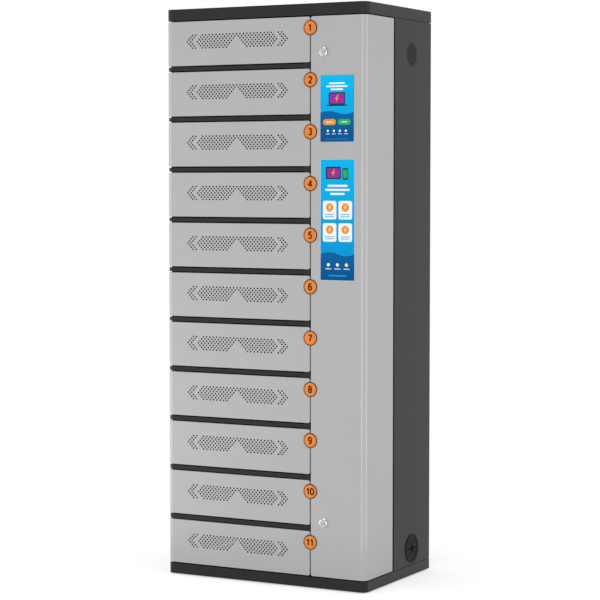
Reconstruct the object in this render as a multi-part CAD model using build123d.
from build123d import *

import os

# A free-standing cabinet that charges laptops in numbered bays.
# Millimetres, X to the right, Y from front to back, Z up, origin on the floor under the middle.

# Case
case_width = 690
case_depth = 450
case_height = 1750
corner_radius = 20
case_sheet = 1.5
floor_gap = 3
plinth_height = 35
cap_height = 35
panel_seam = 1.2
fit_gap = 0.3
running_gap = 0.05

# Doors and the rails between them
bay_count = 11
door_sheet = 1.5
door_gap = 3.5
rail_height = 12
rail_setback = 1
rail_wall = 1.5
rail_block_width = 20
rail_block_lip = 2.5
seam_gap = 4
corner_front_width = 184
corner_side_depth = 183
corner_rear_gap = 9
door_flange = 18
corner_side_flange = 25
door_edge_radius = 6
return_reach = 2
hinge_gusset = 12
hinge_gusset_width = 50

# Pivots
hinge_rod_radius = 3
bay_boss_width = 14
corner_pin_radius = 4
corner_boss_width = 18
corner_pivot_inset = 15
corner_pivot_from_edge = 14
pin_past_flange = 1.5

# Posts, partition and shelves
jamb_sheet = 1.5
jamb_width = 43.5
jamb_leg = 32
jamb_lip = 15
return_clearance = 1.5
panel_edge_inset = 9.5
corner_jamb_width = 25.5
corner_jamb_leg = 26
corner_jamb_lip = 13
post_sheet = 2
post_width = 60
post_leg = 38
post_behind_door = 3
partition_sheet = 1.5
partition_from_seam = 32.5
shelf_sheet = 1.2
shelf_rear_gap = 18
back_flange = 12

# Number lamps
lamp_radius = 22
lamp_clearance = 0.8
lamp_from_door_top = 33
lamp_proud = 2.5
lamp_base_width = 38
lamp_base_depth = 10

# Latches and charging ports in each bay
magnet_width = 38
magnet_depth = 34
magnet_height = 26
pole_width = 12
pole_groove = 3
pole_groove_depth = 2
keeper_width = 34
keeper_height = 20
keeper_plate = 4
keeper_sheet = 2
port_from_back = 70
port_plate_width = 46
port_plate_height = 64
port_plate_depth = 3
port_body_width = 28
port_body_height = 40
port_body_depth = 20
port_slot_width = 9
port_slot_height = 3.4
port_slot_depth = 7
port_slot_spacing = 18

# Locks on the corner door
lock_from_side = 141
lock_from_top = 145
lock_from_floor = 201
lock_head_radius = 13
lock_head_height = 5
lock_body_radius = 9.5
lock_body_reach = 20
lock_nut_flats = 25
lock_nut_height = 5
plug_radius = 6.5
plug_proud = 2
plug_spigot_width = 7
key_slot_width = 8
key_slot_height = 1.8
key_slot_depth = 6
cam_behind_post = 0.6
cam_thickness = 2
cam_length = 36
cam_hub_width = 18
cam_tip_width = 12
cam_screw_flats = 11
cam_screw_height = 2

# Screen and label on the corner door
screen_width = 110
screen_height = 195
screen_from_side = 97
screen_from_top = 214
screen_proud = 1
screen_housing_margin = 7
screen_housing_depth = 18
screen_housing_chamfer = 5
label_width = 114
label_height = 359
label_from_side = 95
label_from_top = 461
label_thickness = 0.6

# Vent, fan and cable grommet on the right side
vent_from_front = 310
vent_from_top = 140
vent_radius = 36.5
vent_hole_width = 8
vent_rings = 2
vent_ring_spacing = 13
fan_size = 92
fan_depth = 25
fan_bore_radius = 43
fan_hub_radius = 17
fan_blade_count = 7
fan_blade_tip_gap = 1.5
fan_blade_sheet = 1.6
fan_blade_chord = 24
fan_blade_angle = 40
fan_strut_width = 5
fan_strut_depth = 3
fan_shaft_radius = 2
fan_hub_clearance = 2.5
grommet_from_front = 320
grommet_height = 87
grommet_radius = 45
grommet_body_radius = 40
grommet_flange = 3
grommet_inside_depth = 8
grommet_wall = 4
lead_hole_radius = 5.5
petal_count = 8
petal_root = 4
petal_slit = 1
petal_eyelet = 3

# Equipment behind the corner door
supply_count = 3
supply_length = 170
supply_depth = 42
supply_height = 98
supply_from_duct = 20
supply_first_height = 320
supply_spacing = 330
box_length = 180
box_depth = 55
box_height = 230
box_top_from_top = 200
duct_width = 40
duct_depth = 38
duct_sheet = 1.5
duct_from_port = 6
duct_end_gap = 60
duct_slot_width = 22
duct_slot_height = 40
terminal_length = 90
terminal_depth = 110
terminal_height = 60
terminal_from_side = 145
terminal_from_front = 285
box_edge_chamfer = 3

# Levelling feet and wall fixings
foot_inset = 55
foot_pad_flats = 38
foot_pad_height = 7
foot_stud_flats = 17
wall_hole_radius = 4.5
wall_hole_spacing = 500
wall_hole_from_top = 150

# Planes and places worked out from the sizes above
left = -case_width / 2
right = case_width / 2
front = -case_depth / 2
back = case_depth / 2
plinth_top = plinth_height
cap_bottom = case_height - cap_height
seam_right = right - corner_front_width
seam_left = seam_right - seam_gap
seam_middle = (seam_left + seam_right) / 2
band = rail_height + 2 * door_gap
door_height = (cap_bottom - plinth_top - 2 * door_gap - (bay_count - 1) * band) / bay_count
door_pitch = door_height + band
door_skin_back = front + door_sheet
bay_pivot = (left + corner_radius, front + corner_radius)
corner_pivot = (right - corner_pivot_inset, front + corner_side_depth - corner_pivot_from_edge)
panel_inside_left = left + case_sheet
panel_inside_right = right - case_sheet
jamb_front = bay_pivot[1] + corner_radius + return_clearance
corner_jamb_front = front + corner_side_depth + corner_rear_gap
post_front = front + door_flange + post_behind_door
partition_right = seam_middle - partition_from_seam + partition_sheet
partition_left = partition_right - partition_sheet
shelf_back = back - case_sheet - shelf_rear_gap
lock_x = right - lock_from_side
lock_heights = {"upper": case_height - lock_from_top, "lower": lock_from_floor}
vent_place = (front + vent_from_front, case_height - vent_from_top)
grommet_place = (front + grommet_from_front, grommet_height)


def door_bottom(number):
    """Lower edge of a bay door; door 1 is the top one."""
    return plinth_top + door_gap + (bay_count - number) * door_pitch


def door_middle(number):
    return door_bottom(number) + door_height / 2


def lamp_z(number):
    return door_bottom(number) + door_height - lamp_from_door_top


def rail_bottom(number):
    """Lower face of the rail under a bay door."""
    return door_bottom(number) - door_gap - rail_height


def block(x0, x1, y0, y1, z0, z1):
    """A box between two corners."""
    middle = ((x0 + x1) / 2, (y0 + y1) / 2, (z0 + z1) / 2)
    return Pos(*middle) * Box(x1 - x0, y1 - y0, z1 - z0)


def rod_x(radius, x0, x1, y, z):
    return Pos((x0 + x1) / 2, y, z) * Rot(0, 90, 0) * Cylinder(radius, x1 - x0)


def rod_y(radius, y0, y1, x, z):
    return Pos(x, (y0 + y1) / 2, z) * Rot(90, 0, 0) * Cylinder(radius, y1 - y0)


def rod_z(radius, z0, z1, x, y):
    return Pos(x, y, (z0 + z1) / 2) * Cylinder(radius, z1 - z0)


def upright(outline, z0, z1):
    """A flat outline in plan, drawn up from z0 to z1."""
    face = make_face(outline) if not isinstance(outline, Sketch) else outline
    return Pos(0, 0, z0) * extrude(face, z1 - z0)


def polygon(points):
    return make_face(Polyline(*points, close=True))


def case_block(inset, z0, z1):
    """The case's outline in plan, moved in by inset, with both front corners round."""
    body = block(left + inset, right - inset, front + inset, back - inset, z0, z1)
    corners = body.edges().filter_by(Axis.Z).group_by(Axis.Y)[0]
    return fillet(corners, corner_radius - inset)


def hexagon(flats, height):
    return extrude(RegularPolygon(flats / 2, 6, major_radius=False), height)


def pivot_hole(radius, z0, z1, place):
    """A six-sided hole whose flats clear a round pin or rod all round."""
    return Pos(*place, z0) * hexagon(2 * (radius + running_gap), z1 - z0)


def pivot_boss(width, z, place):
    """A square boss that a door rests on."""
    x, y = place
    half = width / 2
    return block(x - half, x + half, y - half, y + half, z, z + door_gap - fit_gap)


# Case: plinth, cap, top plate and panels


def make_base_plinth():
    """An upside-down tray whose top carries the posts and the lower pivots."""
    tray = case_block(0, floor_gap, plinth_top)
    tray -= case_block(case_sheet, floor_gap, plinth_top - case_sheet)
    tray += pivot_boss(bay_boss_width, plinth_top, bay_pivot)
    tray += pivot_boss(corner_boss_width, plinth_top, corner_pivot)
    over = plinth_top + door_gap
    tray -= pivot_hole(hinge_rod_radius, plinth_top - case_sheet, over, bay_pivot)
    return tray - pivot_hole(corner_pin_radius, plinth_top - case_sheet, over, corner_pivot)


def make_top_cap():
    cap = case_block(0, cap_bottom, case_height)
    return cap - case_block(case_sheet, cap_bottom, case_height - case_sheet)


def make_top_plate():
    """The plate inside the cap's skirt that carries the upper pivots."""
    plate = case_block(case_sheet + fit_gap, cap_bottom, cap_bottom + case_sheet)
    top = cap_bottom + case_sheet
    plate -= pivot_hole(hinge_rod_radius, cap_bottom, top, bay_pivot)
    return plate - pivot_hole(corner_pin_radius, cap_bottom, top, corner_pivot)


def panel_span():
    return plinth_top + panel_seam, cap_bottom - panel_seam


def make_left_side_panel():
    edge = bay_pivot[1] + panel_edge_inset
    return block(left, panel_inside_left, edge, back, *panel_span())


def make_right_side_panel():
    """The side panel behind the corner door, with round holes for the vent and the grommet."""
    panel = block(panel_inside_right, right, corner_jamb_front, back, *panel_span())
    panel -= rod_x(vent_radius, panel_inside_right, right, *vent_place)
    return panel - rod_x(grommet_body_radius + fit_gap, panel_inside_right, right, *grommet_place)


def make_back_panel():
    """A folded panel between the side panels, with two holes for wall fixings."""
    side = panel_inside_right - fit_gap
    inner = side - case_sheet
    bottom, top = panel_span()
    panel = block(-side, side, back - back_flange, back, bottom, top)
    panel -= block(-inner, inner, back - back_flange, back - case_sheet, bottom, top)
    for x in (-wall_hole_spacing / 2, wall_hole_spacing / 2):
        panel -= rod_y(wall_hole_radius, back - case_sheet, back, x, case_height - wall_hole_from_top)
    return panel


def foot_places():
    for x in (left + foot_inset, right - foot_inset):
        for y in (front + foot_inset, back - foot_inset):
            yield x, y


def make_levelling_feet():
    """A six-sided pad under a six-sided adjuster that ends under the plinth's top."""
    foot = hexagon(foot_pad_flats, foot_pad_height)
    foot += Pos(0, 0, foot_pad_height) * hexagon(foot_stud_flats, plinth_top - case_sheet - foot_pad_height)
    return [Pos(x, y, 0) * foot for x, y in foot_places()]


# Inner frame: jambs, post, partition, rails and shelves


def make_left_jamb():
    """A folded channel behind the returns of the bay doors."""
    x0 = panel_inside_left
    x1 = x0 + jamb_width
    y0 = jamb_front
    outline = polygon(
        [
            (x0, y0),
            (x1, y0),
            (x1, y0 + jamb_lip),
            (x1 - jamb_sheet, y0 + jamb_lip),
            (x1 - jamb_sheet, y0 + jamb_sheet),
            (x0 + jamb_sheet, y0 + jamb_sheet),
            (x0 + jamb_sheet, y0 + jamb_leg),
            (x0, y0 + jamb_leg),
        ]
    )
    return upright(outline, plinth_top, cap_bottom)


def make_corner_jamb():
    """A folded channel behind the rear edge of the corner door."""
    x1 = panel_inside_right
    x0 = x1 - corner_jamb_width
    y0 = corner_jamb_front
    outline = polygon(
        [
            (x0, y0),
            (x1, y0),
            (x1, y0 + corner_jamb_leg),
            (x1 - jamb_sheet, y0 + corner_jamb_leg),
            (x1 - jamb_sheet, y0 + jamb_sheet),
            (x0 + jamb_sheet, y0 + jamb_sheet),
            (x0 + jamb_sheet, y0 + corner_jamb_lip),
            (x0, y0 + corner_jamb_lip),
        ]
    )
    return upright(outline, plinth_top, cap_bottom)


def make_centre_post():
    """A folded angle behind the seam that carries the lamps; the cams hook behind its free edge."""
    x0 = partition_right
    outline = polygon(
        [
            (x0, post_front),
            (x0 + post_width, post_front),
            (x0 + post_width, post_front + post_sheet),
            (x0 + post_sheet, post_front + post_sheet),
            (x0 + post_sheet, post_front + post_leg),
            (x0, post_front + post_leg),
        ]
    )
    return upright(outline, plinth_top, cap_bottom)


def port_y():
    return back - port_from_back


def make_centre_partition():
    """The wall between the bays and the equipment, with a cut-out for each port module."""
    wall = block(partition_left, partition_right, post_front, back - case_sheet, plinth_top, cap_bottom)
    y0 = port_y() - port_body_width / 2 - fit_gap
    y1 = port_y() + port_body_width / 2 + fit_gap
    half_height = port_body_height / 2 + fit_gap
    for number in range(1, bay_count + 1):
        z = door_middle(number)
        wall -= block(partition_left, partition_right, y0, y1, z - half_height, z + half_height)
    return wall


def make_rail():
    """A front rail up to the partition, round at its left end, with a boss round the hinge rod."""
    x0 = left + rail_setback
    y0 = front + rail_setback
    inner = panel_inside_left + fit_gap
    side_end = bay_pivot[1] + panel_edge_inset - panel_seam
    radius = corner_radius - rail_setback
    centre_x, centre_y = bay_pivot
    outline = [
        Line((partition_left, y0), (centre_x, y0)),
        RadiusArc((centre_x, y0), (x0, centre_y), radius),
        Polyline(
            (x0, centre_y),
            (x0, side_end),
            (inner, side_end),
            (inner, jamb_front),
            (partition_left, jamb_front),
            (partition_left, y0),
        ),
    ]
    rail = upright(make_face(Curve() + outline), 0, rail_height)
    rail -= block(
        panel_inside_left + jamb_width,
        partition_left - rail_wall,
        y0 + rail_wall,
        jamb_front,
        rail_wall,
        rail_height - rail_wall,
    )
    rail += pivot_boss(bay_boss_width, rail_height, bay_pivot)
    return rail - pivot_hole(hinge_rod_radius, 0, rail_height + door_gap, bay_pivot)


def make_bay_rails():
    rail = make_rail()
    return [Pos(0, 0, rail_bottom(number)) * rail for number in range(1, bay_count)]


def make_rail_ends():
    """A piece on the post that carries each rail on to the seam, where it ends in a taller block."""
    y0 = front + rail_setback
    block_top = rail_height + rail_block_lip
    end = block(partition_left, seam_left, y0, post_front, 0, rail_height)
    end += block(seam_left - rail_block_width, seam_left, y0, post_front, -rail_block_lip, block_top)
    return [Pos(0, 0, rail_bottom(number)) * end for number in range(1, bay_count)]


def shelf_outline(inset):
    """The shelf in plan, notched round the left jamb."""
    x0 = panel_inside_left + inset
    x1 = partition_left - inset
    y0 = jamb_front + inset
    y1 = shelf_back - inset
    notch_x = panel_inside_left + jamb_width + fit_gap + inset
    notch_y = jamb_front + jamb_leg + fit_gap + inset
    return polygon([(notch_x, y0), (x1, y0), (x1, y1), (x0, y1), (x0, notch_y), (notch_x, notch_y)])


def make_bay_shelves():
    """Each shelf is a shallow tray turned over, as deep as the rail in front of it."""
    shelf = upright(shelf_outline(0), 0, rail_height)
    shelf -= upright(shelf_outline(shelf_sheet), 0, rail_height - shelf_sheet)
    return [Pos(0, 0, rail_bottom(number)) * shelf for number in range(1, bay_count)]


# Hinge rod and pivot pins


def make_bay_hinge_rod():
    """One rod through all the rails and bay doors, from the plinth to the top plate."""
    return rod_z(hinge_rod_radius, plinth_top - case_sheet, cap_bottom + case_sheet, *bay_pivot)


def make_corner_hinge_pins():
    """A pin in the plinth and a pin in the top plate."""
    reach = door_gap + door_sheet + pin_past_flange
    lower = rod_z(corner_pin_radius, plinth_top - case_sheet, plinth_top + reach, *corner_pivot)
    upper = rod_z(corner_pin_radius, cap_bottom - reach, cap_bottom + case_sheet, *corner_pivot)
    return [lower, upper]


# Bay doors and their keepers


def bay_door_plan(inset, rear):
    """The door in plan, from the seam round the left corner, moved in by inset and open at the rear."""
    x1 = seam_left - inset
    centre_x, centre_y = bay_pivot
    radius = corner_radius - inset
    skin = [
        Line((x1, rear[0][1]), (x1, front + inset)),
        Line((x1, front + inset), (centre_x, front + inset)),
        RadiusArc((centre_x, front + inset), (centre_x - radius, centre_y), radius),
        Polyline((centre_x - radius, centre_y), *reversed(rear), (x1, rear[0][1])),
    ]
    return make_face(Curve() + skin)


def soft_seam_corners(body, x, radius):
    """Rounds the two corners of a door that meet the seam at x."""
    edges = body.edges().filter_by(Axis.Y).filter_by_position(Axis.X, x - 0.01, x + 0.01)
    return fillet(edges, radius)


def make_bay_door(number):
    """A folded pan: skin, flanges at three edges, and a round return at the pivot edge."""
    z0 = door_bottom(number)
    z1 = z0 + door_height
    centre_x, centre_y = bay_pivot
    flange_back = front + door_flange
    gusset_back = centre_y + hinge_gusset
    gusset_end = centre_x + hinge_gusset_width / 2
    rear = [
        (gusset_end + hinge_gusset, flange_back),
        (gusset_end, gusset_back),
        (centre_x - hinge_gusset, gusset_back),
        (left, centre_y + return_reach),
    ]
    pan = upright(bay_door_plan(0, rear), z0, z1)
    pan = soft_seam_corners(pan, seam_left, door_edge_radius)
    inside_x = centre_x - corner_radius + door_sheet
    open_back = [(inside_x, gusset_back + door_sheet)]
    pan -= upright(bay_door_plan(door_sheet, open_back), z0 + door_sheet, z1 - door_sheet)
    pan -= pivot_hole(hinge_rod_radius, z0, z1, bay_pivot)
    notch = lamp_radius + lamp_clearance
    return pan - rod_y(notch, front, flange_back, seam_middle, lamp_z(number))


def keeper_x():
    """The keeper stands in front of the magnet's pole."""
    return partition_left - magnet_width / 2


def magnet_face():
    return post_front + door_gap


def make_keeper(number):
    """A folded bracket on the door's skin that holds the flat plate for the magnet."""
    x0 = keeper_x() - keeper_width / 2
    x1 = x0 + keeper_width
    face = magnet_face() - fit_gap
    profile = polygon(
        [
            (x0, door_skin_back),
            (x1, door_skin_back),
            (x1, door_skin_back + keeper_sheet),
            (x0 + keeper_sheet, door_skin_back + keeper_sheet),
            (x0 + keeper_sheet, face - keeper_plate),
            (x1, face - keeper_plate),
            (x1, face),
            (x0, face),
        ]
    )
    z = door_middle(number)
    return upright(profile, z - keeper_height / 2, z + keeper_height / 2)


def make_latch_magnets():
    """An electromagnet on the partition in each bay, with a groove on each side of its pole."""
    y0 = magnet_face()
    magnets = []
    for number in range(1, bay_count + 1):
        z = door_middle(number)
        low = z - magnet_height / 2
        high = z + magnet_height / 2
        body = block(partition_left - magnet_width, partition_left, y0, y0 + magnet_depth, low, high)
        for side in (-1, 1):
            x = keeper_x() + side * (pole_width + pole_groove) / 2
            x0 = x - pole_groove / 2
            body -= block(x0, x0 + pole_groove, y0, y0 + pole_groove_depth, low, high)
        magnets.append(body)
    return magnets


def make_charge_ports():
    """A port module through the partition in each bay, with two charging slots."""
    y = port_y()
    face = partition_left - port_plate_depth
    plate = block(
        face,
        partition_left,
        y - port_plate_width / 2,
        y + port_plate_width / 2,
        -port_plate_height / 2,
        port_plate_height / 2,
    )
    body = block(
        partition_left,
        partition_right + port_body_depth,
        y - port_body_width / 2,
        y + port_body_width / 2,
        -port_body_height / 2,
        port_body_height / 2,
    )
    module = plate + body
    slot = extrude(Rectangle(port_slot_width, port_slot_height), port_slot_depth)
    for z in (-port_slot_spacing / 2, port_slot_spacing / 2):
        mouth = Plane(origin=(face, y, z), x_dir=(0, 1, 0), z_dir=(1, 0, 0))
        module -= mouth * slot
    return [Pos(0, 0, door_middle(number)) * module for number in range(1, bay_count + 1)]


# Number lamps on the centre post


def lamp_base_front():
    return post_front - lamp_base_depth


def make_lamp_housings():
    """A square housing for each lamp, fixed to the post behind the seam."""
    half = lamp_base_width / 2
    housing = block(seam_middle - half, seam_middle + half, lamp_base_front(), post_front, -half, half)
    return [Pos(0, 0, lamp_z(number)) * housing for number in range(1, bay_count + 1)]


def make_lamp_lenses():
    """A round lamp that stands out through the notches of both doors."""
    lens = rod_y(lamp_radius, front - lamp_proud, lamp_base_front(), seam_middle, 0)
    return [Pos(0, 0, lamp_z(number)) * lens for number in range(1, bay_count + 1)]


# Corner door with its screen, label and locks


def corner_plan(inset, front_depth, side_depth):
    """The corner door in plan: a band round the corner, moved in by inset."""
    x0 = seam_right + inset
    y1 = front + corner_side_depth - inset
    centre = (right - corner_radius, front + corner_radius)
    radius = corner_radius - inset
    band_edges = [
        Line((x0, front + inset), (centre[0], front + inset)),
        RadiusArc((centre[0], front + inset), (centre[0] + radius, centre[1]), -radius),
        Polyline(
            (centre[0] + radius, centre[1]),
            (centre[0] + radius, y1),
            (right - side_depth, y1),
            (right - side_depth, front + front_depth),
            (x0, front + front_depth),
            (x0, front + inset),
        ),
    ]
    return make_face(Curve() + band_edges)


def make_corner_door():
    """A tall folded door that wraps the corner, notched round each lamp."""
    z0 = plinth_top + door_gap
    z1 = cap_bottom - door_gap
    door = upright(corner_plan(0, door_flange, corner_side_flange), z0, z1)
    door = soft_seam_corners(door, seam_right, door_edge_radius)
    deep_front = corner_side_depth / 2
    deep_side = corner_front_width / 2
    hollow = upright(corner_plan(door_sheet, deep_front, deep_side), z0 + door_sheet, z1 - door_sheet)
    hollow = soft_seam_corners(hollow, seam_right + door_sheet, door_edge_radius - door_sheet)
    door -= hollow
    door -= pivot_hole(corner_pin_radius, z0, z1, corner_pivot)
    notch = lamp_radius + lamp_clearance
    for number in range(1, bay_count + 1):
        door -= rod_y(notch, front, front + door_flange, seam_middle, lamp_z(number))
    for z in lock_heights.values():
        door -= rod_y(lock_body_radius + running_gap, front, door_skin_back, lock_x, z)
    x, z, _ = screen_place()
    half_width = screen_width / 2 + fit_gap
    low = z - screen_height / 2 - fit_gap
    high = z + screen_height / 2 + fit_gap
    return door - block(x - half_width, x + half_width, front, door_skin_back, low, high)


def screen_place():
    """Middle of the screen in X and Z, and its front face in Y."""
    return right - screen_from_side, case_height - screen_from_top - screen_height / 2, front - screen_proud


def make_screen_glass():
    x, z, face = screen_place()
    half = screen_width / 2
    glass = block(x - half, x + half, face, door_skin_back, z - screen_height / 2, z + screen_height / 2)
    return chamfer(glass.faces().sort_by(Axis.Y)[0].edges(), screen_proud / 2)


def make_screen_housing():
    """A closed housing behind the skin, with its rear edges cut back."""
    x, z, _ = screen_place()
    half_width = screen_width / 2 + screen_housing_margin
    half_height = screen_height / 2 + screen_housing_margin
    rear = door_skin_back + screen_housing_depth
    housing = block(x - half_width, x + half_width, door_skin_back, rear, z - half_height, z + half_height)
    return chamfer(housing.faces().sort_by(Axis.Y)[-1].edges(), screen_housing_chamfer)


def make_label_plate():
    x = right - label_from_side
    top = case_height - label_from_top
    half = label_width / 2
    return block(x - half, x + half, front - label_thickness, front, top - label_height, top)


def cam_front():
    return post_front + post_sheet + cam_behind_post


def make_lock_bodies():
    """A turned body with a round head, bored for its plug."""
    face = front - lock_head_height
    end = front + lock_body_reach
    body = rod_y(lock_head_radius, face, front, 0, 0) + rod_y(lock_body_radius, face, end, 0, 0)
    body -= rod_y(plug_radius + running_gap, face, end, 0, 0)
    return [Pos(lock_x, 0, z) * body for z in lock_heights.values()]


def make_lock_nuts():
    nut = hexagon(lock_nut_flats, lock_nut_height)
    nut -= rod_z(lock_body_radius + running_gap, 0, lock_nut_height, 0, 0)
    nut = Rot(-90, 0, 0) * nut
    return [Pos(lock_x, door_skin_back, z) * nut for z in lock_heights.values()]


def make_lock_plug(height):
    """The plug that the key turns, with a level key slot, a square spigot and a screw for the cam."""
    face = front - lock_head_height - plug_proud
    cam_back = cam_front() + cam_thickness
    side = plug_spigot_width / 2
    plug = rod_y(plug_radius, face, cam_front(), 0, 0)
    plug += block(-side, side, cam_front(), cam_back, -side, side)
    plug += Pos(0, cam_back, 0) * Rot(-90, 0, 0) * hexagon(cam_screw_flats, cam_screw_height)
    half = key_slot_width / 2
    plug -= block(-half, half, face, face + key_slot_depth, -key_slot_height / 2, key_slot_height / 2)
    return Pos(lock_x, 0, height) * plug


def make_lock_cam(height):
    """A tapered cam that hangs down when unlocked; a quarter turn hooks it behind the post."""
    hub = cam_hub_width / 2
    tip = cam_tip_width / 2
    outline = [
        (-hub, hub - tip),
        (-tip, hub),
        (tip, hub),
        (hub, hub - tip),
        (hub, -hub),
        (tip, -cam_length),
        (-tip, -cam_length),
        (-hub, -hub),
    ]
    square = plug_spigot_width + 2 * running_gap
    arm = polygon(outline) - Rectangle(square, square)
    flat = Plane(origin=(lock_x, cam_front() + cam_thickness, height), x_dir=(1, 0, 0), z_dir=(0, -1, 0))
    return flat * extrude(arm, cam_thickness)


# Vent, fan and grommet in the right side panel


def side_plane(x, place):
    """A plane that faces out of the right side, at height and depth place."""
    return Plane(origin=(x, *place), x_dir=(0, 1, 0), z_dir=(1, 0, 0))


def make_vent_guard():
    """A round perforated guard, flush in the side panel."""
    guard = extrude(Circle(vent_radius - running_gap), case_sheet)
    hole = extrude(Rectangle(vent_hole_width, vent_hole_width), case_sheet)
    guard -= hole
    for ring in range(1, vent_rings + 1):
        guard -= PolarLocations(ring * vent_ring_spacing, 6 * ring) * hole
    return side_plane(panel_inside_right, vent_place) * guard


def fan_plane():
    return side_plane(panel_inside_right - fan_depth, vent_place)


def make_fan_frame():
    """A square frame round the bore, with four struts that hold the shaft's bush."""
    frame = extrude(Rectangle(fan_size, fan_size) - Circle(fan_bore_radius), fan_depth)
    reach = fan_bore_radius + fan_strut_width / 2
    struts = Rectangle(2 * reach, fan_strut_width) + Rectangle(fan_strut_width, 2 * reach)
    seat = struts + Rectangle(fan_hub_radius, fan_hub_radius)
    seat -= Circle(fan_shaft_radius + running_gap)
    frame += extrude(seat, fan_strut_depth)
    return fan_plane() * frame


def make_fan_rotor():
    """A hub with pitched blades and a shaft that runs in the frame's bush."""
    low = fan_strut_depth + fan_hub_clearance
    high = fan_depth - fan_hub_clearance
    rotor = Pos(0, 0, low) * extrude(Circle(fan_hub_radius), high - low)
    rotor += rod_z(fan_shaft_radius, 0, low, 0, 0)
    root = fan_hub_radius / 2
    tip = fan_bore_radius - fan_blade_tip_gap
    middle = Pos(0, (root + tip) / 2, (low + high) / 2)
    blade = middle * Rot(0, fan_blade_angle, 0) * Box(fan_blade_chord, tip - root, fan_blade_sheet)
    for count in range(fan_blade_count):
        rotor += Rot(0, 0, count * 360 / fan_blade_count) * blade
    return fan_plane() * rotor


def make_cable_grommet():
    """A round grommet whose soft face is slit into petals round the hole for the mains lead."""
    inside = case_sheet + grommet_inside_depth
    inner = grommet_body_radius - grommet_wall
    grommet = extrude(Circle(grommet_radius), grommet_flange)
    grommet += Pos(0, 0, -inside) * extrude(Circle(grommet_body_radius) - Circle(inner), inside)
    grommet -= extrude(Circle(lead_hole_radius), grommet_flange)
    slit_start = lead_hole_radius + petal_eyelet
    slit_end = inner - petal_root
    slit = Pos((slit_start + slit_end) / 2, 0) * Rectangle(slit_end - slit_start, petal_slit)
    for count in range(petal_count):
        grommet -= Rot(0, 0, count * 360 / petal_count) * extrude(slit, grommet_flange)
    return side_plane(right, grommet_place) * grommet


# Equipment behind the corner door


def soft_block(*corners):
    """A box with its upright edges cut back."""
    body = block(*corners)
    return chamfer(body.edges().filter_by(Axis.Z), box_edge_chamfer)


def duct_front():
    return port_y() - port_body_width / 2 - duct_from_port - duct_width


def make_power_supplies():
    y1 = duct_front() - supply_from_duct
    x1 = partition_right + supply_depth
    supply = soft_block(partition_right, x1, y1 - supply_length, y1, 0, supply_height)
    heights = [supply_first_height + count * supply_spacing for count in range(supply_count)]
    return [Pos(0, 0, height) * supply for height in heights]


def make_control_box():
    x1 = partition_right + box_depth
    y1 = duct_front() - supply_from_duct
    z1 = case_height - box_top_from_top
    return soft_block(partition_right, x1, y1 - box_length, y1, z1 - box_height, z1)


def make_cable_trunking():
    """A rectangular duct on the partition, with a cable slot beside each bay."""
    y0 = duct_front()
    y1 = y0 + duct_width
    x1 = partition_right + duct_depth
    z0 = plinth_top + duct_end_gap
    z1 = cap_bottom - duct_end_gap
    duct = block(partition_right, x1, y0, y1, z0, z1)
    duct -= block(partition_right + duct_sheet, x1 - duct_sheet, y0 + duct_sheet, y1 - duct_sheet, z0, z1)
    for number in range(1, bay_count + 1):
        low = door_middle(number) - duct_slot_height / 2
        x = partition_right + duct_depth / 2
        half = duct_slot_width / 2
        duct -= block(x - half, x + half, y1 - duct_sheet, y1, low, low + duct_slot_height)
    return duct


def make_terminal_box():
    x0 = right - terminal_from_side
    y0 = front + terminal_from_front
    z1 = plinth_top + terminal_height
    return soft_block(x0, x0 + terminal_depth, y0, y0 + terminal_length, plinth_top, z1)


# Write one file for each node


def write(name, shape):
    """Groups of like pieces go out as separate solids in one file."""
    solids = shape if isinstance(shape, list) else [shape]
    loose = [solid for item in solids for solid in item.solids()]
    export_step(loose[0] if len(loose) == 1 else Compound(children=loose), f"parts/{name}.step")


os.makedirs("parts", exist_ok=True)
write("base_plinth", make_base_plinth())
write("top_cap", make_top_cap())
write("top_plate", make_top_plate())
write("left_side_panel", make_left_side_panel())
write("right_side_panel", make_right_side_panel())
write("back_panel", make_back_panel())
write("levelling_feet", make_levelling_feet())
write("left_jamb", make_left_jamb())
write("corner_jamb", make_corner_jamb())
write("centre_post", make_centre_post())
write("centre_partition", make_centre_partition())
write("bay_rails", make_bay_rails())
write("rail_ends", make_rail_ends())
write("bay_shelves", make_bay_shelves())
write("bay_hinge_rod", make_bay_hinge_rod())
write("corner_hinge_pins", make_corner_hinge_pins())
for door_number in range(1, bay_count + 1):
    write(f"bay_door_{door_number}", make_bay_door(door_number))
    write(f"keeper_{door_number}", make_keeper(door_number))
write("latch_magnets", make_latch_magnets())
write("charge_ports", make_charge_ports())
write("lamp_housings", make_lamp_housings())
write("lamp_lenses", make_lamp_lenses())
write("corner_door", make_corner_door())
write("screen_glass", make_screen_glass())
write("screen_housing", make_screen_housing())
write("label_plate", make_label_plate())
write("lock_bodies", make_lock_bodies())
write("lock_nuts", make_lock_nuts())
for level, lock_height in lock_heights.items():
    write(f"{level}_lock_plug", make_lock_plug(lock_height))
    write(f"{level}_lock_cam", make_lock_cam(lock_height))
write("vent_guard", make_vent_guard())
write("fan_frame", make_fan_frame())
write("fan_rotor", make_fan_rotor())
write("cable_grommet", make_cable_grommet())
write("power_supplies", make_power_supplies())
write("control_box", make_control_box())
write("cable_trunking", make_cable_trunking())
write("terminal_box", make_terminal_box())
